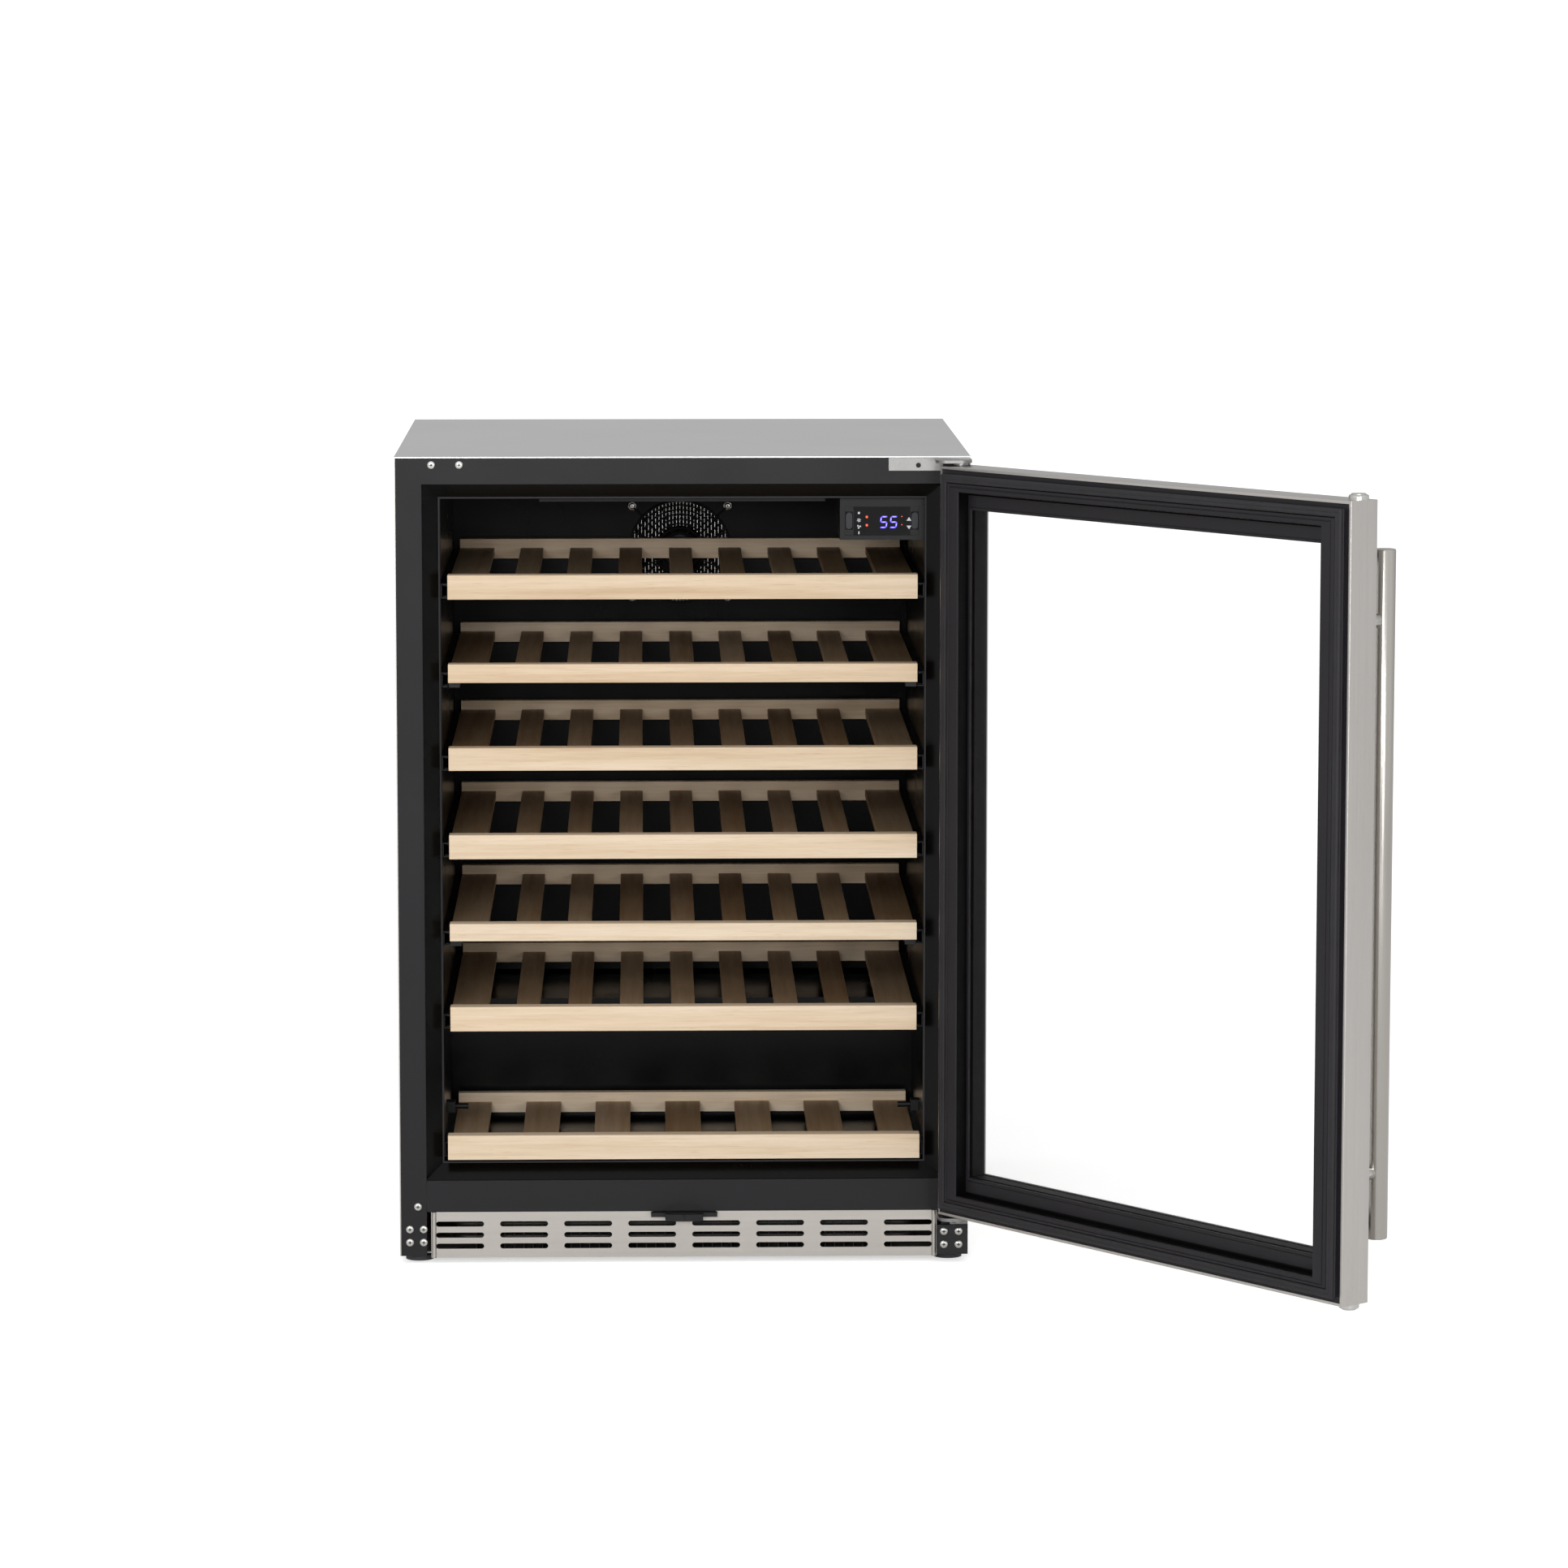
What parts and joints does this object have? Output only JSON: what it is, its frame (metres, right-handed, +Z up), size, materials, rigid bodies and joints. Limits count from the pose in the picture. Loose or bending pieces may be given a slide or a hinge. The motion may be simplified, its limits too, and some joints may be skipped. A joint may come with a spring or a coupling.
{
  "type": "wine cooler",
  "caption": "Under-counter wine cooler with a hinged glass door, sliding wooden racks, bar handle, kick grille and a fan-cooled compressor unit.",
  "frame": {"origin": "on the floor, under the middle of the cabinet body", "axes": "+Z up, -Y towards the person in front, +X to the hinge side"},
  "size_m": [0.9902, 1.0938, 0.853],
  "materials": {
    "top_panel": "fine brushed",
    "side_panels": "satin",
    "rear_panel": "galvanised",
    "foam_insulation": "rigid foam",
    "inner_liner": "gloss",
    "front_frame": "satin",
    "lower_front_panel": "satin",
    "kick_grille": "brushed",
    "base_pan": "satin",
    "compressor": "gloss black",
    "compressor_mounts": "matte",
    "condenser_coil": "satin black",
    "condenser_shroud": "matte",
    "condenser_fan": "matte",
    "evaporator_coil": "mill finish",
    "evaporator_cover": "gloss",
    "fan_guard": "gloss black wire",
    "evaporator_fan": "matte",
    "fan_motors": "zinc",
    "refrigerant_lines": "copper",
    "control_box": "matte",
    "led_lamp": "diffuser",
    "controller_housing": "fine texture",
    "display_lens": "smoked",
    "left_key": "matte",
    "right_key": "matte",
    "top_hinge_bracket": "plated",
    "bottom_hinge_bracket": "plated",
    "corner_plate": "satin",
    "cabinet_screws": "plated",
    "slide_channels": "satin",
    "bottle_stops": "matte",
    "lock_body": "matte",
    "lock_cylinder": "satin",
    "power_inlet": "matte",
    "door_frame": "brushed",
    "door_liner": "satin",
    "door_gasket": "matte",
    "glass_panes": "clear",
    "glass_spacer": "dark anodised",
    "handle_bar": "brushed",
    "handle_standoffs": "brushed",
    "hinge_hole_plugs": "satin",
    "hinge_bushes": "nylon",
    "foot": "zinc",
    "beech": "pale beech, oiled"
  },
  "bodies": {
    "cabinet": {"top_panel": "top_panel", "side_panels": "side_panels", "rear_panel": "rear_panel", "foam_insulation": "foam_insulation", "inner_liner": "inner_liner", "front_frame": "front_frame", "lower_front_panel": "lower_front_panel", "kick_grille": "kick_grille", "base_pan": "base_pan", "compressor": "compressor", "compressor_mounts": "compressor_mounts", "condenser_coil": "condenser_coil", "condenser_shroud": "condenser_shroud", "evaporator_coil": "evaporator_coil", "evaporator_cover": "evaporator_cover", "fan_guard": "fan_guard", "fan_motors": "fan_motors", "refrigerant_lines": "refrigerant_lines", "control_box": "control_box", "led_lamp": "led_lamp", "controller_housing": "controller_housing", "display_lens": "display_lens", "top_hinge_bracket": "top_hinge_bracket", "bottom_hinge_bracket": "bottom_hinge_bracket", "corner_plate": "corner_plate", "cabinet_screws": "cabinet_screws", "slide_channels": "slide_channels", "bottle_stops": "bottle_stops", "lock_body": "lock_body", "power_inlet": "power_inlet"},
    "door": {"door_frame": "door_frame", "door_liner": "door_liner", "door_gasket": "door_gasket", "glass_panes": "glass_panes", "glass_spacer": "glass_spacer", "handle_bar": "handle_bar", "handle_standoffs": "handle_standoffs", "hinge_hole_plugs": "hinge_hole_plugs", "hinge_bushes": "hinge_bushes"},
    "condenser_fan": {"condenser_fan": "condenser_fan"},
    "evaporator_fan": {"evaporator_fan": "evaporator_fan"},
    "left_key": {"left_key": "left_key"},
    "right_key": {"right_key": "right_key"},
    "lock_cylinder": {"lock_cylinder": "lock_cylinder"},
    "shelf_1": {"shelf_1": "beech"},
    "shelf_2": {"shelf_2": "beech"},
    "shelf_3": {"shelf_3": "beech"},
    "shelf_4": {"shelf_4": "beech"},
    "shelf_5": {"shelf_5": "beech"},
    "shelf_6": {"shelf_6": "beech"},
    "shelf_7": {"shelf_7": "beech"},
    "foot_front_left": {"foot_front_left": "foot"},
    "foot_front_right": {"foot_front_right": "foot"},
    "foot_rear_left": {"foot_rear_left": "foot"},
    "foot_rear_right": {"foot_rear_right": "foot"}
  },
  "joints": [
    {"name": "door_hinge", "type": "hinge", "parent": "cabinet", "child": "door", "pos_m": [0.2885, -0.323, 0.451], "axis": [0, 0, 1], "range_deg": [-128.5, 0]},
    {"name": "shelf_1_slide", "type": "slide", "parent": "cabinet", "child": "shelf_1", "axis": [0, -1, 0], "range_m": [0, 0.27]},
    {"name": "shelf_2_slide", "type": "slide", "parent": "cabinet", "child": "shelf_2", "axis": [0, -1, 0], "range_m": [0, 0.27]},
    {"name": "shelf_3_slide", "type": "slide", "parent": "cabinet", "child": "shelf_3", "axis": [0, -1, 0], "range_m": [0, 0.27]},
    {"name": "shelf_4_slide", "type": "slide", "parent": "cabinet", "child": "shelf_4", "axis": [0, -1, 0], "range_m": [0, 0.27]},
    {"name": "shelf_5_slide", "type": "slide", "parent": "cabinet", "child": "shelf_5", "axis": [0, -1, 0], "range_m": [0, 0.27]},
    {"name": "shelf_6_slide", "type": "slide", "parent": "cabinet", "child": "shelf_6", "axis": [0, -1, 0], "range_m": [0, 0.27]},
    {"name": "shelf_7_slide", "type": "slide", "parent": "cabinet", "child": "shelf_7", "axis": [0, -1, 0], "range_m": [0, 0.15]},
    {"name": "left_key_rock", "type": "hinge", "parent": "cabinet", "child": "left_key", "pos_m": [0.1746, -0.2582, 0.783], "axis": [1, 0, 0], "range_deg": [-4, 4], "stiffness_Nm_per_rad": 0.02},
    {"name": "right_key_rock", "type": "hinge", "parent": "cabinet", "child": "right_key", "pos_m": [0.2434, -0.2582, 0.783], "axis": [1, 0, 0], "range_deg": [-4, 4], "stiffness_Nm_per_rad": 0.02},
    {"name": "evaporator_fan_spin", "type": "hinge", "parent": "cabinet", "child": "evaporator_fan", "pos_m": [0, 0.189, 0.713], "axis": [0, 1, 0], "continuous": true},
    {"name": "condenser_fan_spin", "type": "hinge", "parent": "cabinet", "child": "condenser_fan", "pos_m": [0.12, 0.106, 0.11], "axis": [0, 1, 0], "continuous": true},
    {"name": "lock_turn", "type": "hinge", "parent": "cabinet", "child": "lock_cylinder", "pos_m": [0, -0.312, 0.0511], "axis": [0, -1, 0], "range_deg": [0, 90]},
    {"name": "foot_front_left_thread", "type": "slide", "parent": "cabinet", "child": "foot_front_left", "axis": [0, 0, -1], "range_m": [0, 0.02]},
    {"name": "foot_front_right_thread", "type": "slide", "parent": "cabinet", "child": "foot_front_right", "axis": [0, 0, -1], "range_m": [0, 0.02]},
    {"name": "foot_rear_left_thread", "type": "slide", "parent": "cabinet", "child": "foot_rear_left", "axis": [0, 0, -1], "range_m": [0, 0.02]},
    {"name": "foot_rear_right_thread", "type": "slide", "parent": "cabinet", "child": "foot_rear_right", "axis": [0, 0, -1], "range_m": [0, 0.02]}
  ]
}
